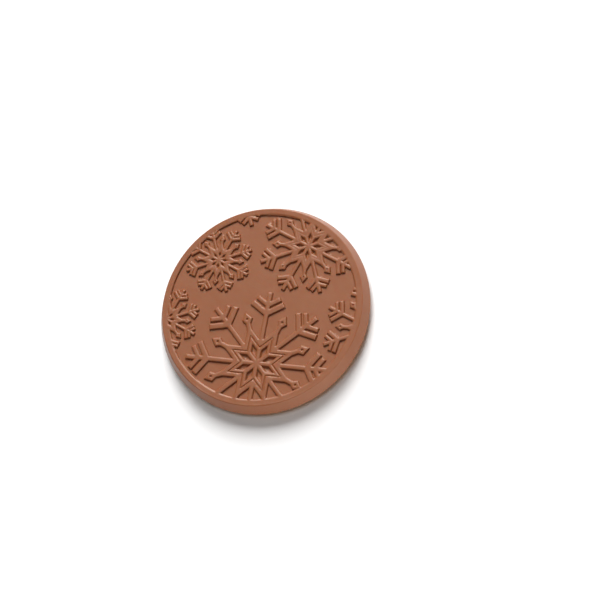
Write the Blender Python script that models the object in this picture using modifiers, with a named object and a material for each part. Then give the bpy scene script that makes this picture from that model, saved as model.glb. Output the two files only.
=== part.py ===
"""A milk-chocolate disc with snowflakes in relief, set on an embossed sugar biscuit.

Metres, +Z up. The cookie lies biscuit down, with its centre over the origin and its
underside at z = 0. Lengths below are written in millimetres times MM.
"""

import math

import bmesh
import bpy

MM = 0.001

# Chocolate disc: a dish with a low rim, and a shallow seat in its back for the biscuit.
CHOCOLATE_RADIUS = 32.5 * MM
CHOCOLATE_THICKNESS = 4.1 * MM
RIM_TOP_RADIUS = 31.2 * MM
RIM_INNER_RADIUS = 29.4 * MM
RIM_OUTER_ROUNDING = 0.4 * MM
RIM_INNER_ROUNDING = 0.15 * MM
BACK_EDGE_ROUNDING = 0.25 * MM
FIELD_DEPTH = 0.5 * MM
FIELD_WALL_RUN = 0.15 * MM
SEAT_RADIUS = 30.0 * MM
SEAT_DEPTH = 1.2 * MM
SEAT_LIP = 0.15 * MM
TURNED_STEPS = 96

# Biscuit: a ribbed border round a flat plate with a raised ring and a wreath of leaves.
GAP = 0.3 * MM
BISCUIT_STAND = 2.5 * MM
BISCUIT_RADIUS = SEAT_RADIUS - GAP
RIB_COUNT = 66
RIB_PHASES = (0.0, 0.2, 0.5, 0.8)
RIB_CROWN = (0.0, 0.8, 1.0, 0.8)
RIB_GROOVE_DEPTH = 0.45 * MM
RIB_SCALLOP = 0.4 * MM
PLATE_LEVEL = 0.6 * MM
BORDER_FOOT_RADIUS = 21.9 * MM
RIB_START = (22.6 * MM, 0.15 * MM)
RIB_END = (27.7 * MM, 0.35 * MM)
RIB_TURN = (29.1 * MM, 0.95 * MM)
RIB_SIDE_LEVEL = 1.9 * MM
RING_RADIUS = 20.8 * MM
RING_LAND = 1.0 * MM
RING_FOOT = 2.0 * MM
LEAF_COUNT = 14
LEAF_RADIUS = 16.2 * MM
LEAF_LENGTH = 6.4 * MM
LEAF_WIDTH = 2.5 * MM
LEAF_TILT = math.radians(38)
LEAF_LEVEL = 0.15 * MM
LEAF_SIDE_POINTS = 5
DOT_RING_COUNT = 6
DOT_RING_RADIUS = 8.5 * MM
DOT_RADIUS = 0.55 * MM
DOT_SIDES = 8
DOT_DEPTH = 0.8 * MM

# One snowflake at full size, in the frame of an arm: along it from the centre, then across.
ARM_COUNT = 8
ARM_STEP = 2 * math.pi / ARM_COUNT
STEM_HALF = 0.71 * MM
ARM_TIP = 21.95 * MM
BRANCH_ANGLE = math.radians(57.4)
LOW_BRANCH_ROOT = 14.8 * MM
LOW_BRANCH_LENGTH = 5.45 * MM
LOW_BRANCH_WIDTH = 1.75 * MM
BRANCH_GAP = 0.56 * MM
HIGH_BRANCH_LENGTH = 3.65 * MM
HIGH_BRANCH_WIDTH = 1.42 * MM
NOTCH_RADIUS = 7.55 * MM
NOTCH_ANGLE = math.radians(5.4)
SPIKE_WAIST = (10.75 * MM, 0.78 * MM)
SPIKE_NECK = (12.7 * MM, 0.69 * MM)
SPIKE_SHOULDER = (14.1 * MM, 1.56 * MM)
SPIKE_TIP = 16.3 * MM
SPIKE_PIT_CENTRE = 14.1 * MM
SPIKE_PIT_RADIUS = 0.32 * MM
SPIKE_PIT_SIDES = 6
SPIKE_PIT_DEPTH = 0.3 * MM
STAR_LINE_TIP = 8.8 * MM
STAR_LINE_NOTCH = 4.87 * MM
STAR_LINE_WIDTH = 0.34 * MM
STAR_LINE_DEPTH = 0.18 * MM
DIAMOND_INNER = 1.7 * MM
DIAMOND_WIDEST = (3.95 * MM, 0.9 * MM)
DIAMOND_OUTER = 6.2 * MM
DIAMOND_DEPTH = 0.45 * MM

# The relief's walls lean, and its top edge is cut at a slope.
RELIEF_TOP_BELOW_RIM = 0.04 * MM
RELIEF_ROOT = 0.3 * MM
RELIEF_DRAFT = 0.1 * MM
RELIEF_EDGE = 0.12 * MM
CUT_CLEARANCE = 0.3 * MM
RIM_CLIP_RADIUS = 29.9 * MM
RECESS_CLIP_RADIUS = 29.0 * MM
SMALLEST_FLAKE_WITH_STAR_LINE = 0.6

# Each snowflake: centre x, centre y, size and the angle of its first arm in degrees.
SNOWFLAKES = {
    "large": (-0.88 * MM, -17.65 * MM, 1.022, 36.6),
    "upper_right": (13.53 * MM, 18.61 * MM, 0.697, 15.8),
    "upper_left": (-14.24 * MM, 15.58 * MM, 0.47, 15.5),
    "left": (-29.79 * MM, -2.38 * MM, 0.47, 15.1),
    "right": (34.28 * MM, -8.5 * MM, 0.697, 15.8),
    "top": (-8.9 * MM, 41.0 * MM, 0.705, 16.1),
}

BACK = BISCUIT_STAND
TOP = BACK + CHOCOLATE_THICKNESS
FIELD = TOP - FIELD_DEPTH
SEAT_FLOOR = BACK + SEAT_DEPTH
RELIEF_TOP = TOP - RELIEF_TOP_BELOW_RIM


def clear_scene():
    for obj in list(bpy.data.objects):
        bpy.data.objects.remove(obj)


def new_collection(name, hidden=False):
    collection = bpy.data.collections.new(name)
    bpy.context.scene.collection.children.link(collection)
    collection.hide_render = hidden
    return collection


def remove_collection(collection):
    for obj in list(collection.objects):
        bpy.data.objects.remove(obj)
    bpy.data.collections.remove(collection)


def new_material(name, colour, roughness):
    material = bpy.data.materials.new(name)
    material.use_nodes = True
    shader = material.node_tree.nodes["Principled BSDF"]
    shader.inputs["Base Color"].default_value = (*colour, 1)
    shader.inputs["Roughness"].default_value = roughness
    material.diffuse_color = (*colour, 1)
    return material


def object_from(shape, name, collection):
    """Turns a bmesh into an object whose faces point outwards."""
    bmesh.ops.recalc_face_normals(shape, faces=shape.faces)
    mesh = bpy.data.meshes.new(name)
    shape.to_mesh(mesh)
    shape.free()
    obj = bpy.data.objects.new(name, mesh)
    collection.objects.link(obj)
    return obj


def turned(name, profile, collection):
    """Screws a profile of (radius, height) points, which runs from axis to axis."""
    mesh = bpy.data.meshes.new(name)
    points = [(radius, 0, height) for radius, height in profile]
    edges = [(i, i + 1) for i in range(len(points) - 1)]
    mesh.from_pydata(points, edges, [])
    obj = bpy.data.objects.new(name, mesh)
    collection.objects.link(obj)
    screw = obj.modifiers.new("turn", "SCREW")
    screw.steps = TURNED_STEPS
    screw.render_steps = TURNED_STEPS
    screw.use_merge_vertices = True
    screw.merge_threshold = 0.00001
    return obj


def boolean(obj, operation, cutter=None, collection=None):
    modifier = obj.modifiers.new(operation.lower(), "BOOLEAN")
    modifier.operation = operation
    if collection:
        modifier.operand_type = "COLLECTION"
        modifier.collection = collection
    else:
        modifier.object = cutter


def apply_modifiers(obj):
    bpy.context.view_layer.update()
    graph = bpy.context.evaluated_depsgraph_get()
    mesh = bpy.data.meshes.new_from_object(obj.evaluated_get(graph))
    obj.modifiers.clear()
    obj.data = mesh


def arc(centre, radius, start, end, steps):
    """Points on an arc between two angles in degrees, both ends included."""
    angles = [math.radians(start + (end - start) * i / steps) for i in range(steps + 1)]
    x, y = centre
    return [(x + radius * math.cos(a), y + radius * math.sin(a)) for a in angles]


def polygon(centre, radius, sides):
    """The corners of a regular polygon, anticlockwise."""
    return arc(centre, radius, 0, 360 - 360 / sides, sides - 1)


def rotated(point, angle):
    x, y = point
    return (
        x * math.cos(angle) - y * math.sin(angle),
        x * math.sin(angle) + y * math.cos(angle),
    )


def placed(points, centre, size, angle):
    turned_points = [rotated(point, angle) for point in points]
    return [(centre[0] + size * x, centre[1] + size * y) for x, y in turned_points]


def offset(outline, distance):
    """Moves each side of an anticlockwise outline outwards, or inwards where negative."""
    moved = []
    for before, here, after in zip(outline[-1:] + outline, outline, outline[1:] + outline[:1]):
        first = (here[0] - before[0], here[1] - before[1])
        second = (after[0] - here[0], after[1] - here[1])
        n1 = (first[1] / math.hypot(*first), -first[0] / math.hypot(*first))
        n2 = (second[1] / math.hypot(*second), -second[0] / math.hypot(*second))
        mitre = distance / (1 + n1[0] * n2[0] + n1[1] * n2[1])
        moved.append((here[0] + mitre * (n1[0] + n2[0]), here[1] + mitre * (n1[1] + n2[1])))
    return moved


def add_walls(shape, lower, upper):
    count = len(lower)
    for i in range(count):
        j = (i + 1) % count
        shape.faces.new((lower[i], lower[j], upper[j], upper[i]))


def add_stack(shape, layers):
    """Adds a closed solid through outlines of equally many points: (outline, height)."""
    rings = [[shape.verts.new((x, y, z)) for x, y in outline] for outline, z in layers]
    for lower, upper in zip(rings, rings[1:]):
        add_walls(shape, lower, upper)
    shape.faces.new(rings[0][::-1])
    shape.faces.new(rings[-1])


def add_band(shape, layers):
    """Adds a closed band: the layers in turn are joined, and the last to the first."""
    rings = [[shape.verts.new((x, y, z)) for x, y in outline] for outline, z in layers]
    for lower, upper in zip(rings, rings[1:] + rings[:1]):
        add_walls(shape, lower, upper)


def branch(root, length, width):
    """The three outer corners and the far root of a side branch, from its near root."""
    along = (math.cos(BRANCH_ANGLE), math.sin(BRANCH_ANGLE))
    across = (math.sin(BRANCH_ANGLE), -math.cos(BRANCH_ANGLE))
    low_end = (root + length * along[0], STEM_HALF + length * along[1])
    high_end = (low_end[0] + width * across[0], low_end[1] + width * across[1])
    high_root = root + width / math.sin(BRANCH_ANGLE)
    return [(root, STEM_HALF), low_end, high_end, (high_root, STEM_HALF)]


def snowflake_outline():
    """The outline of a full-size snowflake, anticlockwise, with its first arm along +X."""
    low = branch(LOW_BRANCH_ROOT, LOW_BRANCH_LENGTH, LOW_BRANCH_WIDTH)
    high_branch_root = low[-1][0] + BRANCH_GAP / math.sin(BRANCH_ANGLE)
    high = branch(high_branch_root, HIGH_BRANCH_LENGTH, HIGH_BRANCH_WIDTH)
    notch = rotated((NOTCH_RADIUS, 0), NOTCH_ANGLE)
    spike = [(x, -y) for x, y in (SPIKE_WAIST, SPIKE_NECK, SPIKE_SHOULDER)]
    half_arm = [(ARM_TIP, STEM_HALF), *high[::-1], *low[::-1], notch]
    half_arm += [rotated(point, ARM_STEP / 2) for point in spike]
    mirrored = [(x, -y) for x, y in half_arm[::-1]]
    sector = [*mirrored, *half_arm, rotated((SPIKE_TIP, 0), ARM_STEP / 2)]
    return [rotated(point, ARM_STEP * k) for k in range(ARM_COUNT) for point in sector]


def star_line_outline():
    points = []
    for k in range(ARM_COUNT):
        points.append(rotated((STAR_LINE_NOTCH, 0), ARM_STEP * k))
        points.append(rotated((STAR_LINE_TIP, 0), ARM_STEP * (k + 0.5)))
    return points


def diamond_outline():
    x, y = DIAMOND_WIDEST
    return [(DIAMOND_INNER, 0), (x, -y), (DIAMOND_OUTER, 0), (x, y)]


def add_diamonds(shape, centre, size, angle):
    for k in range(ARM_COUNT):
        turn = angle + ARM_STEP * (k + 0.5)
        outline = placed(diamond_outline(), centre, size, turn)
        floor = offset(outline, -RELIEF_DRAFT)
        add_stack(
            shape,
            [(floor, RELIEF_TOP - DIAMOND_DEPTH), (outline, RELIEF_TOP), (outline, TOP + CUT_CLEARANCE)],
        )


def add_pits(shape, centre, size, angle):
    for k in range(ARM_COUNT):
        turn = angle + ARM_STEP * (k + 0.5)
        pit = placed([(SPIKE_PIT_CENTRE, 0)], centre, size, turn)[0]
        mouth = polygon(pit, SPIKE_PIT_RADIUS * size, SPIKE_PIT_SIDES)
        floor = polygon(pit, SPIKE_PIT_RADIUS * size / 2, SPIKE_PIT_SIDES)
        add_stack(
            shape,
            [(floor, RELIEF_TOP - SPIKE_PIT_DEPTH), (mouth, RELIEF_TOP), (mouth, TOP + CUT_CLEARANCE)],
        )


def add_star_line(shape, centre, size, angle):
    outline = placed(star_line_outline(), centre, size, angle)
    half = STAR_LINE_WIDTH * size / 2
    outer = offset(outline, half)
    inner = offset(outline, -half)
    lid = TOP + CUT_CLEARANCE
    add_band(
        shape,
        [
            (inner, RELIEF_TOP),
            (outline, RELIEF_TOP - STAR_LINE_DEPTH),
            (outer, RELIEF_TOP),
            (outer, lid),
            (inner, lid),
        ],
    )


def make_clip(name, radius, collection):
    """A cylinder through the whole relief, as a cutter."""
    shape = bmesh.new()
    outline = polygon((0, 0), radius, TURNED_STEPS)
    add_stack(shape, [(outline, 0), (outline, TOP + 2 * CUT_CLEARANCE)])
    clip = object_from(shape, name, collection)
    clip.hide_render = True
    clip.display_type = "WIRE"
    return clip


def make_snowflakes(relief, recesses, cutters):
    rim_clip = make_clip("rim_clip", RIM_CLIP_RADIUS, cutters)
    recess_clip = make_clip("recess_clip", RECESS_CLIP_RADIUS, cutters)
    for name, (x, y, size, degrees) in SNOWFLAKES.items():
        centre, angle = (x, y), math.radians(degrees)
        outline = placed(snowflake_outline(), centre, size, angle)
        foot = offset(outline, RELIEF_DRAFT / 2)
        shoulder = offset(outline, -RELIEF_DRAFT / 2)
        top = offset(outline, -RELIEF_DRAFT / 2 - RELIEF_EDGE)
        shape = bmesh.new()
        add_stack(
            shape,
            [
                (foot, FIELD - RELIEF_ROOT),
                (shoulder, RELIEF_TOP - RELIEF_EDGE),
                (top, RELIEF_TOP),
            ],
        )
        flake = object_from(shape, "snowflake_" + name, relief)
        boolean(flake, "INTERSECT", rim_clip)
        apply_modifiers(flake)

        shape = bmesh.new()
        add_diamonds(shape, centre, size, angle)
        add_pits(shape, centre, size, angle)
        if size > SMALLEST_FLAKE_WITH_STAR_LINE:
            add_star_line(shape, centre, size, angle)
        recess = object_from(shape, "recess_" + name, recesses)
        boolean(recess, "INTERSECT", recess_clip)
        apply_modifiers(recess)


def chocolate_profile():
    """From the middle of the field, out over the rim, down the side and back to the axis."""
    inner, outer = RIM_INNER_ROUNDING, RIM_OUTER_ROUNDING
    lower = BACK_EDGE_ROUNDING
    return [
        (0, FIELD),
        (RIM_INNER_RADIUS - FIELD_WALL_RUN, FIELD),
        *arc((RIM_INNER_RADIUS + inner, TOP - inner), inner, 160, 90, 2),
        *arc((RIM_TOP_RADIUS - outer, TOP - outer), outer, 90, 15, 4),
        *arc((CHOCOLATE_RADIUS - lower, BACK + lower), lower, 10, -90, 3),
        (SEAT_RADIUS + SEAT_LIP, BACK),
        (SEAT_RADIUS, BACK + SEAT_LIP),
        (SEAT_RADIUS, SEAT_FLOOR),
        (0, SEAT_FLOOR),
    ]


def make_chocolate(parts, cutters, material):
    relief = new_collection("relief")
    recesses = new_collection("recesses")
    make_snowflakes(relief, recesses, cutters)
    chocolate = turned("chocolate", chocolate_profile(), parts)
    boolean(chocolate, "UNION", collection=relief)
    boolean(chocolate, "DIFFERENCE", collection=recesses)
    apply_modifiers(chocolate)
    remove_collection(relief)
    remove_collection(recesses)
    chocolate.data.materials.append(material)


def rib_section():
    """The border's section: radius, height and how far the ribs show there, from 0 to 1."""
    return [
        (BORDER_FOOT_RADIUS, PLATE_LEVEL, 0),
        (*RIB_START, 1),
        (*RIB_END, 1),
        (*RIB_TURN, 1),
        (BISCUIT_RADIUS, RIB_SIDE_LEVEL, 1),
        (BISCUIT_RADIUS, SEAT_FLOOR - GAP, 0),
    ]


def rib_ring(shape, radius, height, strength):
    """One ring of points, with grooves cut upwards on the face and inwards on the side."""
    facing = min(1, (BISCUIT_RADIUS - radius) / (BISCUIT_RADIUS - RIB_END[0]))
    points = []
    for k in range(RIB_COUNT):
        for phase, crown in zip(RIB_PHASES, RIB_CROWN):
            angle = 2 * math.pi * (k + phase) / RIB_COUNT
            sunk = strength * (1 - crown)
            r = radius - sunk * RIB_SCALLOP * (1 - facing)
            z = height + sunk * RIB_GROOVE_DEPTH * facing
            points.append(shape.verts.new((*rotated((r, 0), angle), z)))
    return points


def leaf_outline(index):
    """A pointed leaf, from one tip round to the other and back, lying aslant in the wreath."""
    half = LEAF_LENGTH / 2
    steps = LEAF_SIDE_POINTS
    lower = [(-half + LEAF_LENGTH * i / steps, 0) for i in range(steps)]
    side = [(x, -LEAF_WIDTH / 2 * math.cos(math.pi * x / LEAF_LENGTH)) for x, _ in lower]
    outline = side + [(-x, -y) for x, y in side]
    angle = 2 * math.pi * index / LEAF_COUNT
    centre = rotated((LEAF_RADIUS, 0), angle)
    return placed(outline, centre, 1, angle + LEAF_TILT)


def make_leaves(collection):
    for index in range(LEAF_COUNT):
        outline = leaf_outline(index)
        shape = bmesh.new()
        crown = offset(outline, -RELIEF_EDGE)
        add_stack(shape, [(crown, LEAF_LEVEL), (outline, PLATE_LEVEL + RELIEF_ROOT)])
        object_from(shape, f"leaf_{index}", collection)


def make_ring(collection):
    """The raised ring, whose flat land is what the cookie rests on."""
    root = PLATE_LEVEL + RELIEF_ROOT
    outer_foot, inner_foot = RING_RADIUS + RING_FOOT / 2, RING_RADIUS - RING_FOOT / 2
    outer_land, inner_land = RING_RADIUS + RING_LAND / 2, RING_RADIUS - RING_LAND / 2
    shape = bmesh.new()
    section = [(outer_foot, root), (inner_foot, root), (inner_land, 0), (outer_land, 0)]
    add_band(shape, [(polygon((0, 0), radius, TURNED_STEPS), height) for radius, height in section])
    object_from(shape, "ring", collection)


def make_docker_holes(collection):
    centres = polygon((0, 0), DOT_RING_RADIUS, DOT_RING_COUNT) + [(0, 0)]
    shape = bmesh.new()
    for centre in centres:
        dot = polygon(centre, DOT_RADIUS, DOT_SIDES)
        add_stack(shape, [(dot, -CUT_CLEARANCE), (dot, PLATE_LEVEL + DOT_DEPTH)])
    holes = object_from(shape, "docker_holes", collection)
    holes.hide_render = True
    holes.display_type = "WIRE"
    return holes


def make_biscuit(parts, cutters, material):
    shape = bmesh.new()
    rings = [rib_ring(shape, *station) for station in rib_section()]
    for lower, upper in zip(rings, rings[1:]):
        add_walls(shape, lower, upper)
    shape.faces.new(rings[0][::-1])
    shape.faces.new(rings[-1])
    biscuit = object_from(shape, "biscuit", parts)
    raised = new_collection("raised")
    make_ring(raised)
    make_leaves(raised)
    boolean(biscuit, "UNION", collection=raised)
    boolean(biscuit, "DIFFERENCE", make_docker_holes(cutters))
    apply_modifiers(biscuit)
    remove_collection(raised)
    biscuit.data.materials.append(material)


def main():
    clear_scene()
    parts = new_collection("chocolate_cookie")
    cutters = new_collection("cutters", hidden=True)
    milk_chocolate = new_material("milk_chocolate", (0.33, 0.15, 0.09), 0.35)
    baked_biscuit = new_material("baked_biscuit", (0.83, 0.6, 0.38), 0.8)
    make_chocolate(parts, cutters, milk_chocolate)
    make_biscuit(parts, cutters, baked_biscuit)


main()
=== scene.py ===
"""The looks of a chocolate sugar cookie: milk chocolate with snowflakes in relief on a biscuit.

Metres, in the frame's own axes: the cookie lies biscuit down with its underside at z = 0.
"""

import math

import bpy
import numpy as np
from mathutils import Matrix, Vector


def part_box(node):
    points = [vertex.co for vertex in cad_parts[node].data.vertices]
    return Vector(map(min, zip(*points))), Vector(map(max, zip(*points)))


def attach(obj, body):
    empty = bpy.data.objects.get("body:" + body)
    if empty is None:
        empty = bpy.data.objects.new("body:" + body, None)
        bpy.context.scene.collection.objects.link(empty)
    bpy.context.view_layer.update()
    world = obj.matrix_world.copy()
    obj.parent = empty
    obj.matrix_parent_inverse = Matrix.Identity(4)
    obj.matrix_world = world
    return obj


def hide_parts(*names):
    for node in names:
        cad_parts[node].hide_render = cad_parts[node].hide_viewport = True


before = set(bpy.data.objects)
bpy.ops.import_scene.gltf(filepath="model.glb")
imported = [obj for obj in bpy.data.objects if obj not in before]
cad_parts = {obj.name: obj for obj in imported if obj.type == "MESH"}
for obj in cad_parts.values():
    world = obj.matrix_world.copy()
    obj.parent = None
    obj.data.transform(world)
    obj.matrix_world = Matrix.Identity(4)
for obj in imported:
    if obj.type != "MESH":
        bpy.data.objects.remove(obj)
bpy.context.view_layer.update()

MM = 0.001

# The photograph: where the rim's outline is and how the face is turned to the camera.
PHOTO_PIXELS = 600
PHOTO_FACE_CENTRE = (261.9, 306.9)
PHOTO_PIXELS_PER_MM = 3.353
CAMERA_AZIMUTH = math.radians(39.8)
CAMERA_TILT_FROM_FACE = math.radians(25.0)
CAMERA_DISTANCE = 2.0
CAMERA_SENSOR = 36

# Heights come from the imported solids.
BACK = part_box("chocolate")[0][2]
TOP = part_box("chocolate")[1][2]
BISCUIT_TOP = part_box("biscuit")[1][2]

# Chocolate disc.
CHOCOLATE_RADIUS = 32.5 * MM
RIM_TOP_RADIUS = 31.2 * MM
RIM_INNER_RADIUS = 29.12 * MM
RIM_INNER_CENTRE = (-0.15 * MM, 0.13 * MM)
RIM_OUTER_ROUNDING = 0.4 * MM
RIM_OUTER_ROUNDING_ANGLES = (80, 15)
BACK_EDGE_ROUNDING = 0.25 * MM
BACK_EDGE_ROUNDING_ANGLES = (10, -90)
BACK_FLAT = 1.2 * MM
FIELD_DEPTH = 0.6 * MM

# The seat for the biscuit, in the chocolate's back.
SEAT_RADIUS = 29.85 * MM
SEAT_LIP = 0.25 * MM
SEAT_DEPTH = 1.15 * MM

# The face's slight unevenness: height and breadth of its waves, and the room it is given.
UNEVENNESS_ROOM = 0.016 * MM
WAVES = (0.012 * MM, 3.1 * MM)
RIPPLES = (0.004 * MM, 0.9 * MM)

# The relief's walls, by distance from the outline: positive outside, negative inside.
WALL_FOOT = 0.13 * MM
WALL_TOP = 0.01 * MM
CROWN_RUN = 0.6 * MM
CROWN_DROP = 0.22 * MM

# One snowflake at full size, in the frame of an arm: along it from the centre, then across.
ARM_STEP = math.radians(45)
STEM_HALF = 0.74 * MM
ARM_TIP = 21.95 * MM
BRANCH_ANGLE = math.radians(57.4)
LOW_BRANCH_ROOT = 14.8 * MM
LOW_BRANCH_LENGTH = 5.45 * MM
LOW_BRANCH_WIDTH = 1.75 * MM
BRANCH_GAP = 0.6 * MM
HIGH_BRANCH_LENGTH = 3.65 * MM
HIGH_BRANCH_WIDTH = 1.42 * MM
NOTCH_RADIUS = 7.55 * MM
NOTCH_ANGLE = math.radians(5.4)
SPIKE_WAIST = (10.75 * MM, 0.78 * MM)
SPIKE_NECK = (12.7 * MM, 0.69 * MM)
SPIKE_SHOULDER = (14.1 * MM, 1.56 * MM)
SPIKE_TIP = 16.3 * MM
SPIKE_PIT_CENTRE = 14.1 * MM
SPIKE_PIT_RADIUS = 0.32 * MM
SPIKE_PIT_DEPTH = 0.35 * MM
SPIKE_PIT_EDGE = 1.4
STAR_LINE_TIP = 8.8 * MM
STAR_LINE_NOTCH = 4.87 * MM
STAR_LINE_HALF = 0.26 * MM
STAR_LINE_DEPTH = 0.2 * MM
DIAMOND_INNER = 1.7 * MM
DIAMOND_WIDEST = (3.95 * MM, 0.88 * MM)
DIAMOND_OUTER = 6.15 * MM
DIAMOND_SINK = 0.2 * MM
DIAMOND_SINK_RUN = 0.2 * MM

# Small snowflakes have stouter bars: this much more on each side per unit of size below 1.
STOUTER_BARS = 0.22 * MM
SMALLEST_FLAKE_WITH_STAR_LINE = 0.6
FAR_AWAY = 1.0

# How far past a snowflake, or a part of one, its relief is worked out.
BEYOND = 1.5 * MM

# Each snowflake: centre x, centre y, size and the angle of its first arm in degrees.
SNOWFLAKES = {
    "large": (-0.88 * MM, -17.65 * MM, 1.022, 36.6),
    "upper_right": (13.53 * MM, 18.61 * MM, 0.697, 15.8),
    "upper_left": (-14.24 * MM, 15.58 * MM, 0.47, 15.5),
    "left": (-29.79 * MM, -2.38 * MM, 0.47, 15.1),
    "right": (34.28 * MM, -8.5 * MM, 0.697, 15.8),
    "top": (-8.9 * MM, 41.0 * MM, 0.705, 16.1),
}

# The biscuit's ribs.
RIB_COUNT = 66
RIB_DEPTH = 0.5 * MM
RIB_SCALLOP = 0.35 * MM
RIB_WOBBLE = 0.07
RIB_FLATNESS = 3.2
PLATE_LEVEL = 0.6 * MM
BORDER_FOOT_RADIUS = 21.9 * MM
BORDER_START = 0.9 * MM

# The ribbed border's crowns from its foot outwards: radius and height.
RIB_SECTION = [
    (21.9 * MM, 0.6 * MM),
    (22.5 * MM, 0.2 * MM),
    (25.0 * MM, 0.15 * MM),
    (27.7 * MM, 0.35 * MM),
    (28.6 * MM, 0.65 * MM),
    (29.3 * MM, 1.15 * MM),
    (29.7 * MM, 1.9 * MM),
]

# The biscuit's side: radius, height and how far the ribs' scallops are cut in.
SIDE_ROWS = [
    (29.52 * MM, 1.3 * MM, 0.4),
    (29.66 * MM, 1.62 * MM, 0.8),
    (29.7 * MM, 1.9 * MM, 1),
    (29.7 * MM, 2.2 * MM, 1),
    (29.7 * MM, 2.6 * MM, 0.8),
    (29.7 * MM, BISCUIT_TOP, 0.3),
]

# On the plate inside the border: a ring that the cookie lies on, leaves and docker holes.
RING_RADIUS = 20.8 * MM
RING_LAND = 1.0 * MM
RING_FOOT = 2.0 * MM
LEAF_COUNT = 14
LEAF_RADIUS = 16.2 * MM
LEAF_LENGTH = 6.4 * MM
LEAF_WIDTH = 2.5 * MM
LEAF_TILT = math.radians(38)
LEAF_LEVEL = 0.15 * MM
LEAF_EDGE = 0.5 * MM
LEAF_EDGE_START = 0.3
VEIN_HALF = 0.18 * MM
VEIN_REACH = 0.42
VEIN_DEPTH = 0.45
DOT_RING_COUNT = 6
DOT_RING_RADIUS = 8.5 * MM
DOT_RADIUS = 0.55 * MM
DOT_DEPTH = 0.9 * MM
DOT_EDGE = 1.6

# The baked crumb: share, breadth and seed of each layer of noise, and its pores.
CRUMB_LAYERS = [(0.5, 2.3 * MM, 11), (0.3, 0.8 * MM, 12), (0.2, 0.35 * MM, 13)]
CRUMB_DEPTH = 0.05 * MM
PORE_BREADTH = 0.55 * MM
PORE_SEED = 14
PORE_THRESHOLD = 0.72
PORE_EDGE = 0.2
PORE_DEPTH = 0.12 * MM

# Mesh spacing, and the share of triangles each piece keeps when it is thinned. Both
# pieces are thinned to stay under 200,000 triangles.
CHOCOLATE_STEP = 0.13 * MM
CHOCOLATE_COLUMNS = 1440
CHOCOLATE_KEEP = 0.28
BISCUIT_STEP = 0.16 * MM
BISCUIT_COLUMNS = 1320
BISCUIT_KEEP = 0.42
FEWEST_COLUMNS_SHARE = 8
CRISP_ANGLE = math.radians(38)
WELD_DISTANCE = 0.001 * MM

# Mesh points this close to an edge of the relief, in mesh spacings, are drawn onto it.
DRAWING_REACH = 0.52
DRAWING_ROUNDS = 2
SLOPE_STEP = 0.01 * MM
LEAST_SLOPE_SQUARED = 0.5

# Colours, in linear light.
CHOCOLATE_DARK = (0.254, 0.085, 0.033)
CHOCOLATE_LIGHT = (0.26, 0.088, 0.035)
CHOCOLATE_SPECK = (0.278, 0.098, 0.043)
BISCUIT_GOLDEN = (0.82, 0.6, 0.43)
BISCUIT_PALE = (0.86, 0.67, 0.51)
# Painted shade: a darker, warmer colour laid into the rib grooves for the shade and warm bounced
# light that fall there.
BISCUIT_GROOVE_SHADE = (0.74, 0.44, 0.22)
BISCUIT_RIM = (0.68, 0.36, 0.15)
BISCUIT_GRAIN = (0.72, 0.46, 0.26)
FLOOR_COLOUR = (0.9, 0.9, 0.9)

# Roughness: the range over the patches of a piece.
CHOCOLATE_ROUGHNESS = (0.35, 0.4)
BISCUIT_ROUGHNESS = (0.7, 0.9)
FLOOR_ROUGHNESS = 0.8

# Each light: compass direction and height angle in degrees, distance, width, height, watts.
LIGHTS = {
    "key": (92, 41, 2.5, 1.5, 1.5, 105),
    "top": (300, 85, 2.5, 1.0, 1.0, 14),
    "low_fill": (305, 0.5, 1.5, 1.6, 0.02, 20),
}
WORLD_COLOUR = (1, 0.94, 0.88)
WORLD_STRENGTH = 0.06
FLOOR_SIZE = 6


def smoothstep(x):
    """From 0 to 1 as x goes from 0 to 1, level at both ends."""
    x = np.clip(x, 0, 1)
    return x * x * (3 - 2 * x)


def lattice_noise(x, y, cell, seed):
    """Smooth noise from -1 to 1 whose features are about one cell across."""
    size = 64
    values = np.random.default_rng(seed).uniform(-1, 1, (size, size))
    u, v = x / cell, y / cell
    i, j = np.floor(u).astype(int), np.floor(v).astype(int)
    fu, fv = smoothstep(u - i), smoothstep(v - j)
    corners = [values[(i + a) % size, (j + b) % size] for a in (0, 1) for b in (0, 1)]
    low = corners[0] * (1 - fv) + corners[1] * fv
    high = corners[2] * (1 - fv) + corners[3] * fv
    return low * (1 - fu) + high * fu


def rotated(x, y, angle):
    """A point, or arrays of points, turned about the origin."""
    return (
        x * math.cos(angle) - y * math.sin(angle),
        x * math.sin(angle) + y * math.cos(angle),
    )


def segment_distance(x, y, start, end):
    """Distance of points from the stretch between two points."""
    dx, dy = end[0] - start[0], end[1] - start[1]
    along = ((x - start[0]) * dx + (y - start[1]) * dy) / (dx * dx + dy * dy)
    along = np.clip(along, 0, 1)
    return np.hypot(x - start[0] - along * dx, y - start[1] - along * dy)


def inside(x, y, corners):
    """True where a point lies inside the closed polygon."""
    within = np.zeros(np.shape(x), bool)
    for (x1, y1), (x2, y2) in zip(corners, corners[1:] + corners[:1]):
        if y1 == y2:
            continue
        crossing = x1 + (y - y1) / (y2 - y1) * (x2 - x1)
        within ^= ((y1 > y) != (y2 > y)) & (x < crossing)
    return within


def branch(root, length, width):
    """The near root, the two ends and the far root of a side branch."""
    along = (math.cos(BRANCH_ANGLE), math.sin(BRANCH_ANGLE))
    across = (math.sin(BRANCH_ANGLE), -math.cos(BRANCH_ANGLE))
    low_end = (root + length * along[0], STEM_HALF + length * along[1])
    high_end = (low_end[0] + width * across[0], low_end[1] + width * across[1])
    return [(root, STEM_HALF), low_end, high_end, (root + width / across[0], STEM_HALF)]


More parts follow.
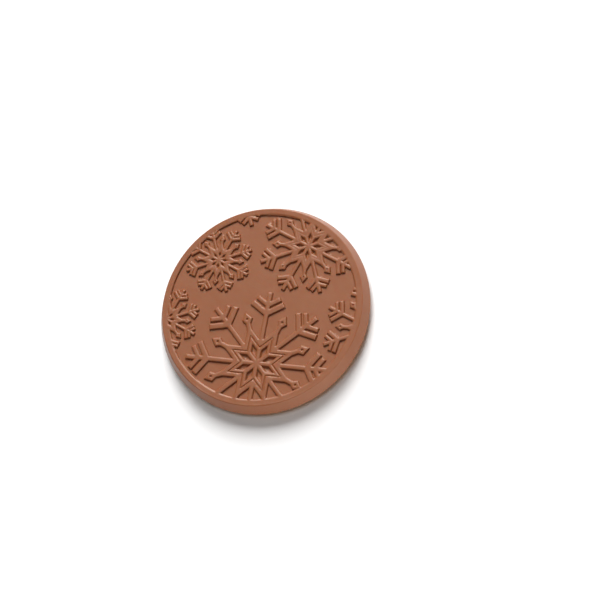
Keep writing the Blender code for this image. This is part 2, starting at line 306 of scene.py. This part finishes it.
def wedge_outline():
    """The snowflake's outline from the middle of an arm's tip to the tip of the next spike."""
    low = branch(LOW_BRANCH_ROOT, LOW_BRANCH_LENGTH, LOW_BRANCH_WIDTH)
    high_root = low[-1][0] + BRANCH_GAP / math.sin(BRANCH_ANGLE)
    high = branch(high_root, HIGH_BRANCH_LENGTH, HIGH_BRANCH_WIDTH)
    spike = [SPIKE_WAIST, SPIKE_NECK, SPIKE_SHOULDER]
    return [
        (ARM_TIP, 0),
        (ARM_TIP, STEM_HALF),
        *high[::-1],
        *low[::-1],
        rotated(NOTCH_RADIUS, 0, NOTCH_ANGLE),
        *[rotated(x, -y, ARM_STEP / 2) for x, y in spike],
        rotated(SPIKE_TIP, 0, ARM_STEP / 2),
    ]


def in_wedge(x, y, place):
    """Folds points into the wedge between one arm and the next spike, at full size."""
    centre_x, centre_y, size, degrees = place
    dx, dy = (x - centre_x) / size, (y - centre_y) / size
    angle = np.arctan2(dy, dx) - math.radians(degrees)
    angle = np.abs((angle + ARM_STEP / 2) % ARM_STEP - ARM_STEP / 2)
    radius = np.hypot(dx, dy)
    return radius * np.cos(angle), radius * np.sin(angle)


def snowflake_distance(u, v):
    """Distance outside the outline of a full-size snowflake, negative inside it."""
    outline = wedge_outline()
    distance = np.full(np.shape(u), np.inf)
    for start, end in zip(outline, outline[1:]):
        distance = np.minimum(distance, segment_distance(u, v, start, end))
    return np.where(inside(u, v, [(0, 0), *outline]), -distance, distance)


def side_of(x, y, start, end):
    """Distance to the right of the line from start to end."""
    dx, dy = end[0] - start[0], end[1] - start[1]
    return ((x - start[0]) * dy - (y - start[1]) * dx) / math.hypot(dx, dy)


def diamond_distance(u, v):
    """Distance outside the nearest diamond of a full-size snowflake, negative inside it."""
    along, across = rotated(u, v, -ARM_STEP / 2)
    across = np.abs(across)
    inner, outer = (DIAMOND_INNER, 0), (DIAMOND_OUTER, 0)
    return np.maximum(
        side_of(along, across, DIAMOND_WIDEST, inner),
        side_of(along, across, outer, DIAMOND_WIDEST),
    )


def star_line_distance(u, v):
    """Distance from the thin star line of a full-size snowflake."""
    tip = rotated(STAR_LINE_TIP, 0, ARM_STEP / 2)
    return segment_distance(u, v, (STAR_LINE_NOTCH, 0), tip)


def rim_distance(x, y):
    """Distance inwards from the rim's inner edge, negative under the rim."""
    return RIM_INNER_RADIUS - np.hypot(x - RIM_INNER_CENTRE[0], y - RIM_INNER_CENTRE[1])


def stouter_by(size):
    """How much wider the bars of a snowflake of this size are on each side."""
    return STOUTER_BARS * max(1 - size, 0)


def edge_distance(x, y):
    """Distance outside everything raised on the face, negative inside it."""
    inside_rim = rim_distance(x, y)
    distance = inside_rim.copy()
    for place in SNOWFLAKES.values():
        size = place[2]
        near = np.hypot(x - place[0], y - place[1]) < size * (ARM_TIP + BEYOND)
        u, v = in_wedge(x[near], y[near], place)
        solid = size * snowflake_distance(u, v) - stouter_by(size)
        flake = np.maximum(solid, -size * diamond_distance(u, v) - stouter_by(size))
        # Near a snowflake the strip at the foot of the rim's wall counts as raised.
        flake = np.where(inside_rim[near] > WALL_FOOT, flake, np.minimum(flake, 0))
        distance[near] = np.minimum(distance[near], flake)
    return distance


def nearest_line(x, y):
    """Distance from the nearest star line, and the size of the snowflake that it is in."""
    distance, sizes = np.full(np.shape(x), FAR_AWAY), np.ones(np.shape(x))
    for place in SNOWFLAKES.values():
        size = place[2]
        if size < SMALLEST_FLAKE_WITH_STAR_LINE:
            continue
        near = np.hypot(x - place[0], y - place[1]) < size * (STAR_LINE_TIP + BEYOND)
        u, v = in_wedge(x[near], y[near], place)
        distance[near], sizes[near] = size * star_line_distance(u, v), size
    return distance, sizes


def pit_depth(x, y):
    """Depth of the small round pits in the spikes' heads."""
    depth = np.zeros(np.shape(x))
    for place in SNOWFLAKES.values():
        size = place[2]
        near = np.hypot(x - place[0], y - place[1]) < size * ARM_TIP
        along, across = rotated(*in_wedge(x[near], y[near], place), -ARM_STEP / 2)
        away = np.hypot(along - SPIKE_PIT_CENTRE, across) / SPIKE_PIT_RADIUS
        pit = SPIKE_PIT_DEPTH * size * smoothstep(SPIKE_PIT_EDGE - away)
        depth[near] = np.maximum(depth[near], pit)
    return depth


def diamond_sink(x, y):
    """How far the floors of the diamonds lie below the field."""
    sink = np.zeros(np.shape(x))
    for place in SNOWFLAKES.values():
        size = place[2]
        near = np.hypot(x - place[0], y - place[1]) < size * (DIAMOND_OUTER + BEYOND)
        u, v = in_wedge(x[near], y[near], place)
        within = -size * diamond_distance(u, v) - stouter_by(size) - WALL_FOOT
        sink[near] = DIAMOND_SINK * np.clip(within / DIAMOND_SINK_RUN, 0, 1)
    return sink * (rim_distance(x, y) > WALL_FOOT)


def drawn_to(x, y, distance, levels, reach):
    """Moves points that are within reach of a contour of the distance onto it."""
    levels = np.array(levels)
    here = distance(x, y)
    gap = levels[np.argmin(np.abs(here[:, None] - levels), 1)] - here
    near = np.nonzero(np.abs(gap) < reach)[0]
    target = (here + gap)[near]
    px, py = x[near], y[near]
    for _ in range(DRAWING_ROUNDS):
        here = distance(px, py)
        gx = (distance(px + SLOPE_STEP, py) - here) / SLOPE_STEP
        gy = (distance(px, py + SLOPE_STEP) - here) / SLOPE_STEP
        pull = (target - here) / np.maximum(gx * gx + gy * gy, LEAST_SLOPE_SQUARED)
        px, py = px + pull * gx, py + pull * gy
    x, y = x.copy(), y.copy()
    x[near], y[near] = px, py
    return x, y


def face_height(x, y):
    """Height of the chocolate's decorated face."""
    edge = edge_distance(x, y)
    wall = np.clip((WALL_FOOT - edge) / (WALL_FOOT - WALL_TOP), 0, 1)
    crown = np.clip(1 - (WALL_TOP - edge) / CROWN_RUN, 0, 1)
    relief = wall * (FIELD_DEPTH - CROWN_DROP * (1 - np.sqrt(1 - crown * crown)))
    line, size = nearest_line(x, y)
    cuts = STAR_LINE_DEPTH * size ** 4 * smoothstep(1 - line / (STAR_LINE_HALF * size))
    cuts = np.maximum(cuts, pit_depth(x, y)) * (rim_distance(x, y) > 0) * wall
    unevenness = WAVES[0] * lattice_noise(x, y, WAVES[1], 1)
    unevenness += RIPPLES[0] * lattice_noise(x, y, RIPPLES[1], 2)
    field = TOP - UNEVENNESS_ROOM - FIELD_DEPTH + unevenness - diamond_sink(x, y)
    return field + np.maximum(relief - cuts, 0)


def face_surface(x, y):
    """Points of the face, drawn onto the edges of the relief so that these come out crisp."""
    reach = DRAWING_REACH * CHOCOLATE_STEP
    crown_edge = WALL_TOP - CHOCOLATE_STEP
    x, y = drawn_to(x, y, edge_distance, (WALL_FOOT, WALL_TOP, crown_edge), reach)
    deep_inside = edge_distance(x, y) < crown_edge - reach
    lx, ly = drawn_to(x, y, lambda a, b: nearest_line(a, b)[0], (0, STAR_LINE_HALF), reach)
    x, y = np.where(deep_inside, lx, x), np.where(deep_inside, ly, y)
    return x, y, face_height(x, y)


def arc(centre, radius, start, end, steps):
    """Points of (radius, height) along an arc, with its angles in degrees."""
    angles = [math.radians(start + (end - start) * i / steps) for i in range(steps + 1)]
    return [(centre[0] + radius * math.cos(a), centre[1] + radius * math.sin(a)) for a in angles]


def ring_plan(radii, columns, fewest):
    """Each ring's radius with its number of columns, which doubles as the rings widen."""
    widest = max(radii)
    plan = []
    for radius in radii:
        count = columns
        while count > fewest and radius < widest * count / columns / 2:
            count //= 2
        plan.append((radius, count))
    return plan


def turned_mesh(name, plan, surface, outer_rows):
    """A closed mesh of rings: a disc laid on a surface, then rows round its edge.

    plan lists (radius, columns) from the centre outwards; surface(x, y) gives the points
    there; outer_rows lists functions that give (radius, height) for the last ring's angles.
    """
    angles = [np.arange(count) * 2 * math.pi / count for _, count in plan]
    radii = [np.full(count, radius) for radius, count in plan]
    flat_angles, flat_radii = np.concatenate([[0], *angles]), np.concatenate([[0], *radii])
    disc = surface(flat_radii * np.cos(flat_angles), flat_radii * np.sin(flat_angles))
    points = [np.stack(disc, 1)]
    last_angles = angles[-1]
    for row in outer_rows:
        radius, z = row(last_angles)
        x, y = radius * np.cos(last_angles), radius * np.sin(last_angles)
        points.append(np.stack([x, y, z + 0 * x], 1))
    points.append(np.array([[0, 0, points[-1][:, 2].mean()]]))
    rings, first = [], 1
    for count in [count for _, count in plan] + [len(last_angles)] * len(outer_rows):
        rings.append(np.arange(first, first + count))
        first += count
    faces = [(0, int(a), int(b)) for a, b in zip(rings[0], np.roll(rings[0], -1))]
    for inner, outer in zip(rings, rings[1:]):
        inner_next, outer_next = np.roll(inner, -1), np.roll(outer, -1)
        if len(inner) == len(outer):
            faces += np.stack([inner, outer, outer_next, inner_next], 1).tolist()
        else:
            near, middle, far = outer[0::2], outer[1::2], np.roll(outer[0::2], -1)
            faces += np.stack([inner, near, middle], 1).tolist()
            faces += np.stack([inner, middle, inner_next], 1).tolist()
            faces += np.stack([inner_next, middle, far], 1).tolist()
    last = rings[-1]
    faces += [(first, int(b), int(a)) for a, b in zip(last, np.roll(last, -1))]
    mesh = bpy.data.meshes.new(name)
    mesh.from_pydata(np.concatenate(points).tolist(), [], faces)
    mesh.validate()
    obj = bpy.data.objects.new(name, mesh)
    bpy.context.scene.collection.objects.link(obj)
    return obj


def work_in_modifiers(obj):
    """Replaces the object's mesh with what its modifiers make of it."""
    bpy.context.view_layer.update()
    graph = bpy.context.evaluated_depsgraph_get()
    mesh = bpy.data.meshes.new_from_object(obj.evaluated_get(graph))
    obj.modifiers.clear()
    obj.data = mesh


def thinned(obj, keep):
    """Takes out the triangles that flat stretches don't need, and shades the rest smooth."""
    weld = obj.modifiers.new("weld", "WELD")
    weld.merge_threshold = WELD_DISTANCE
    decimate = obj.modifiers.new("thin", "DECIMATE")
    decimate.ratio = keep
    work_in_modifiers(obj)
    obj.data.shade_smooth()
    obj.data.set_sharp_from_angle(angle=CRISP_ANGLE)
    weighted = obj.modifiers.new("shading", "WEIGHTED_NORMAL")
    weighted.keep_sharp = True
    work_in_modifiers(obj)


def fixed_row(radius, height):
    return lambda angles: (radius, height)


def make_chocolate():
    inner_top = RIM_TOP_RADIUS - RIM_OUTER_ROUNDING
    radii = np.arange(CHOCOLATE_STEP * 3, inner_top, CHOCOLATE_STEP).tolist() + [inner_top]
    plan = ring_plan(radii, CHOCOLATE_COLUMNS, CHOCOLATE_COLUMNS // FEWEST_COLUMNS_SHARE)
    rounding = RIM_OUTER_ROUNDING
    side = arc((inner_top, TOP - rounding), rounding, *RIM_OUTER_ROUNDING_ANGLES, steps=7)
    rounding = BACK_EDGE_ROUNDING
    edge_centre = (CHOCOLATE_RADIUS - rounding, BACK + rounding)
    edge = arc(edge_centre, rounding, *BACK_EDGE_ROUNDING_ANGLES, steps=6)
    back = [
        (SEAT_RADIUS + BACK_FLAT, BACK),
        *arc((SEAT_RADIUS + SEAT_LIP, BACK + SEAT_LIP), SEAT_LIP, 270, 180, steps=4),
        (SEAT_RADIUS, BACK + SEAT_DEPTH),
    ]
    rows = [fixed_row(r, z) for r, z in side + edge + back]
    chocolate = turned_mesh("chocolate_body", plan, face_surface, rows)
    thinned(chocolate, CHOCOLATE_KEEP)
    return chocolate


def rib_crown(angles):
    """From 0 in a groove to 1 on a rib's crown, with ribs that differ a little."""
    turns = angles * RIB_COUNT / (2 * math.pi)
    wobble = RIB_WOBBLE * np.interp(turns, np.arange(RIB_COUNT + 1), rib_draws(3), period=RIB_COUNT)
    phase = (turns + wobble) % 1
    return 1 - np.abs(2 * phase - 1) ** RIB_FLATNESS


def rib_draws(seed):
    """One random number from -1 to 1 for each rib, with the first again at the end."""
    draws = np.random.default_rng(seed).uniform(-1, 1, RIB_COUNT + 1)
    draws[-1] = draws[0]
    return draws


def leaf_rise(x, y):
    """How far the wreath's leaves stand up from the plate, from 0 to 1."""
    rise = np.zeros(np.shape(x))
    for index in range(LEAF_COUNT):
        angle = 2 * math.pi * index / LEAF_COUNT
        cx, cy = rotated(LEAF_RADIUS, 0, angle)
        u, v = rotated(x - cx, y - cy, -angle - LEAF_TILT)
        half = LEAF_WIDTH / 2 * np.cos(np.clip(math.pi * u / LEAF_LENGTH, -math.pi / 2, math.pi / 2))
        margin = np.minimum(half - np.abs(v), LEAF_LENGTH / 2 - np.abs(u))
        body = smoothstep(margin / LEAF_EDGE + LEAF_EDGE_START)
        vein = smoothstep(1 - np.abs(v) / VEIN_HALF) * (np.abs(u) < LEAF_LENGTH * VEIN_REACH)
        rise = np.maximum(rise, body * (1 - VEIN_DEPTH * vein))
    return rise


def dot_depth(x, y):
    """Depth of the docker holes."""
    depth = np.zeros(np.shape(x))
    centres = [(0, 0)]
    for index in range(DOT_RING_COUNT):
        centres.append(rotated(DOT_RING_RADIUS, 0, 2 * math.pi * index / DOT_RING_COUNT))
    for cx, cy in centres:
        away = np.hypot(x - cx, y - cy) / DOT_RADIUS
        depth = np.maximum(depth, DOT_DEPTH * smoothstep(DOT_EDGE - away))
    return depth


def crumb(x, y):
    """The baked surface's small-scale unevenness, always into the biscuit."""
    rough = sum(share * lattice_noise(x, y, breadth, seed) for share, breadth, seed in CRUMB_LAYERS)
    pores = lattice_noise(x, y, PORE_BREADTH, PORE_SEED)
    pores = smoothstep((pores - PORE_THRESHOLD) / PORE_EDGE)
    return CRUMB_DEPTH * (1 + rough) + PORE_DEPTH * pores


def underside_height(x, y):
    """Height of the biscuit's embossed underside."""
    radius, angle = np.hypot(x, y), np.arctan2(y, x)
    plate = PLATE_LEVEL - (PLATE_LEVEL - LEAF_LEVEL) * leaf_rise(x, y) + dot_depth(x, y)
    ring = smoothstep((RING_FOOT / 2 - np.abs(radius - RING_RADIUS)) / (RING_FOOT - RING_LAND) * 2)
    plate = plate * (1 - ring)
    section = np.array(RIB_SECTION)
    border = np.interp(radius, section[:, 0], section[:, 1])
    start = smoothstep((radius - BORDER_FOOT_RADIUS) / BORDER_START)
    border = border + RIB_DEPTH * start * (1 - rib_crown(angle % (2 * math.pi)))
    height = np.where(radius > BORDER_FOOT_RADIUS, border, plate)
    return height + crumb(x, y)


def underside_surface(x, y):
    return x, y, underside_height(x, y)


def rib_row(radius, height, share):
    """A row round the biscuit's side, scalloped by its ribs."""
    def row(angles):
        scallop = RIB_SCALLOP * share * (1 - rib_crown(angles))
        x, y = radius * np.cos(angles), radius * np.sin(angles)
        return radius - scallop - crumb(x + height, y), height
    return row


def make_biscuit():
    edge = RIB_SECTION[-2][0]
    radii = np.arange(BISCUIT_STEP * 3, edge, BISCUIT_STEP).tolist()
    plan = ring_plan(radii, BISCUIT_COLUMNS, BISCUIT_COLUMNS // FEWEST_COLUMNS_SHARE)
    rows = [rib_row(*row) for row in SIDE_ROWS]
    biscuit = turned_mesh("biscuit_body", plan, underside_surface, rows)
    biscuit.data.flip_normals()
    thinned(biscuit, BISCUIT_KEEP)
    return biscuit


def new_material(name):
    material = bpy.data.materials.new(name)
    material.use_nodes = True
    tree = material.node_tree
    return material, tree, tree.nodes["Principled BSDF"]


def add_node(tree, kind, **settings):
    node = tree.nodes.new(kind)
    for key, value in settings.items():
        setattr(node, key, value)
    return node


def noise(tree, coordinates, feature, detail=3, roughness=0.5):
    """Noise whose features are about the given size in metres."""
    node = add_node(tree, "ShaderNodeTexNoise")
    node.inputs["Scale"].default_value = 1 / feature
    node.inputs["Detail"].default_value = detail
    node.inputs["Roughness"].default_value = roughness
    tree.links.new(coordinates, node.inputs["Vector"])
    return node.outputs["Fac"]


def remap(tree, value, source, target):
    """The value with the source range stretched to the target range, and held at its ends."""
    node = add_node(tree, "ShaderNodeMapRange")
    for key, number in zip(("From Min", "From Max", "To Min", "To Max"), (*source, *target)):
        node.inputs[key].default_value = number
    tree.links.new(value, node.inputs["Value"])
    return node.outputs["Result"]


def mix_colour(tree, factor, first, second):
    node = add_node(tree, "ShaderNodeMix", data_type="RGBA")
    tree.links.new(factor, node.inputs["Factor"])
    for socket, colour in ((node.inputs[6], first), (node.inputs[7], second)):
        if isinstance(colour, tuple):
            socket.default_value = (*colour, 1)
        else:
            tree.links.new(colour, socket)
    return node.outputs[2]


def product(tree, first, second):
    node = add_node(tree, "ShaderNodeMath", operation="MULTIPLY")
    tree.links.new(first, node.inputs[0])
    tree.links.new(second, node.inputs[1])
    return node.outputs["Value"]


def bump(tree, height, distance, normal=None):
    node = add_node(tree, "ShaderNodeBump")
    node.inputs["Distance"].default_value = distance
    tree.links.new(height, node.inputs["Height"])
    if normal:
        tree.links.new(normal, node.inputs["Normal"])
    return node.outputs["Normal"]


def chocolate_material():
    material, tree, shader = new_material("milk_chocolate_satin")
    place = add_node(tree, "ShaderNodeTexCoord").outputs["Object"]
    mottle = noise(tree, place, feature=7 * MM, detail=4)
    mottle = remap(tree, mottle, (0.35, 0.65), (0, 1))
    colour = mix_colour(tree, mottle, CHOCOLATE_DARK, CHOCOLATE_LIGHT)
    speckle = noise(tree, place, feature=0.5 * MM, detail=2)
    speckle = remap(tree, speckle, (0.58, 0.75), (0, 0.35))
    colour = mix_colour(tree, speckle, colour, CHOCOLATE_SPECK)
    tree.links.new(colour, shader.inputs["Base Color"])
    smears = noise(tree, place, feature=4 * MM, detail=3)
    smears = remap(tree, smears, (0.3, 0.7), CHOCOLATE_ROUGHNESS)
    tree.links.new(smears, shader.inputs["Roughness"])
    ripples = noise(tree, place, feature=2.2 * MM, detail=2)
    normal = bump(tree, ripples, distance=0.03 * MM)
    grain = noise(tree, place, feature=0.35 * MM, detail=3)
    normal = bump(tree, grain, distance=0.008 * MM, normal=normal)
    tree.links.new(normal, shader.inputs["Normal"])
    shader.inputs["IOR"].default_value = 1.45
    shader.inputs["Specular IOR Level"].default_value = 0.5
    shader.inputs["Specular Tint"].default_value = (1.0, 0.9, 0.8, 1)
    shader.inputs["Subsurface Weight"].default_value = 0.5
    shader.inputs["Subsurface Radius"].default_value = (1.0, 0.25, 0.08)
    shader.inputs["Subsurface Scale"].default_value = 0.5 * MM
    return material


def biscuit_material():
    material, tree, shader = new_material("baked_biscuit_crumb")
    place = add_node(tree, "ShaderNodeTexCoord").outputs["Object"]
    patches = noise(tree, place, feature=5 * MM, detail=4, roughness=0.6)
    patches = remap(tree, patches, (0.35, 0.65), (0, 1))
    colour = mix_colour(tree, patches, BISCUIT_GOLDEN, BISCUIT_PALE)
    separate = add_node(tree, "ShaderNodeSeparateXYZ")
    tree.links.new(place, separate.inputs["Vector"])
    flat = add_node(tree, "ShaderNodeCombineXYZ")
    tree.links.new(separate.outputs["X"], flat.inputs["X"])
    tree.links.new(separate.outputs["Y"], flat.inputs["Y"])
    length = add_node(tree, "ShaderNodeVectorMath", operation="LENGTH")
    tree.links.new(flat.outputs["Vector"], length.inputs[0])
    radius = length.outputs["Value"]
    border = remap(tree, radius, (22 * MM, 23 * MM), (0, 1))
    # Painted shade: the deeper the border's surface lies between the ribs, the more of the groove
    # shade colour is painted in.
    groove_shade = remap(tree, separate.outputs["Z"], (0.35 * MM, 0.85 * MM), (0, 0.8))
    groove_shade = product(tree, groove_shade, border)
    colour = mix_colour(tree, groove_shade, colour, BISCUIT_GROOVE_SHADE)
    rim = remap(tree, radius, (27.5 * MM, 29.8 * MM), (0, 0.7))
    colour = mix_colour(tree, rim, colour, BISCUIT_RIM)
    grains = noise(tree, place, feature=0.45 * MM, detail=3)
    grains = remap(tree, grains, (0.5, 0.72), (0, 0.4))
    colour = mix_colour(tree, grains, colour, BISCUIT_GRAIN)
    tree.links.new(colour, shader.inputs["Base Color"])
    dry = noise(tree, place, feature=1.5 * MM, detail=2)
    dry = remap(tree, dry, (0.3, 0.7), BISCUIT_ROUGHNESS)
    tree.links.new(dry, shader.inputs["Roughness"])
    crumbs = noise(tree, place, feature=0.5 * MM, detail=5, roughness=0.65)
    normal = bump(tree, crumbs, distance=0.12 * MM)
    tree.links.new(normal, shader.inputs["Normal"])
    shader.inputs["Subsurface Weight"].default_value = 0.1
    shader.inputs["Subsurface Radius"].default_value = (1.0, 0.6, 0.35)
    shader.inputs["Subsurface Scale"].default_value = 0.6 * MM
    return material


def floor_material():
    material, _, shader = new_material("pale_floor")
    shader.inputs["Base Color"].default_value = (*FLOOR_COLOUR, 1)
    shader.inputs["Roughness"].default_value = FLOOR_ROUGHNESS
    return material


def make_floor():
    bpy.ops.mesh.primitive_plane_add(size=FLOOR_SIZE)
    floor = bpy.context.object
    floor.name = "floor"
    floor.data.materials.append(floor_material())


def camera_axes():
    """The picture's right, its up and the way back to the camera, for the photo's view."""
    azimuth, tilt = CAMERA_AZIMUTH, CAMERA_TILT_FROM_FACE
    level = Vector((math.cos(azimuth), math.sin(azimuth), 0))
    away = Vector((-math.sin(azimuth), math.cos(azimuth), 0))
    rising = away * math.cos(tilt) + Vector((0, 0, math.sin(tilt)))
    right = level * math.cos(azimuth) - rising * math.sin(azimuth)
    up = level * math.sin(azimuth) + rising * math.cos(azimuth)
    return right, up, right.cross(up)


def make_camera():
    right, up, back = camera_axes()
    metres_per_pixel = MM / PHOTO_PIXELS_PER_MM
    aside = (PHOTO_PIXELS / 2 - PHOTO_FACE_CENTRE[0]) * metres_per_pixel
    above = (PHOTO_FACE_CENTRE[1] - PHOTO_PIXELS / 2) * metres_per_pixel
    place = Vector((0, 0, TOP)) + back * CAMERA_DISTANCE + right * aside + up * above
    data = bpy.data.cameras.new("camera")
    data.sensor_width = CAMERA_SENSOR
    data.lens = CAMERA_SENSOR * CAMERA_DISTANCE / (PHOTO_PIXELS * metres_per_pixel)
    camera = bpy.data.objects.new("camera", data)
    bpy.context.scene.collection.objects.link(camera)
    turn = Matrix((right, up, back)).transposed().to_4x4()
    camera.matrix_world = Matrix.Translation(place) @ turn
    bpy.context.scene.camera = camera


def add_area_light(name, direction, elevation, distance, width, height, power):
    """A soft light that shines at the cookie from a compass direction and a height angle."""
    a, e = math.radians(direction), math.radians(elevation)
    towards = Vector((math.cos(a) * math.cos(e), math.sin(a) * math.cos(e), math.sin(e)))
    data = bpy.data.lights.new(name, "AREA")
    data.shape = "RECTANGLE"
    data.size = width
    data.size_y = height
    data.energy = power
    light = bpy.data.objects.new(name, data)
    light.location = towards * distance
    light.rotation_euler = towards.to_track_quat("Z", "Y").to_euler()
    bpy.context.scene.collection.objects.link(light)


def make_lights():
    for name, settings in LIGHTS.items():
        add_area_light(name, *settings)
    world = bpy.data.worlds.new("studio")
    world.use_nodes = True
    background = world.node_tree.nodes["Background"]
    background.inputs["Color"].default_value = (*WORLD_COLOUR, 1)
    background.inputs["Strength"].default_value = WORLD_STRENGTH
    bpy.context.scene.world = world


def dress(piece, node, material):
    """Gives a piece its material, and says what it rides on and replaces."""
    piece.data.materials.clear()
    piece.data.materials.append(material)
    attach(piece, "root")
    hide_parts(node)


bpy.context.scene.view_settings.view_transform = "Standard"
make_floor()
make_camera()
make_lights()
dress(make_chocolate(), "chocolate", chocolate_material())
dress(make_biscuit(), "biscuit", biscuit_material())
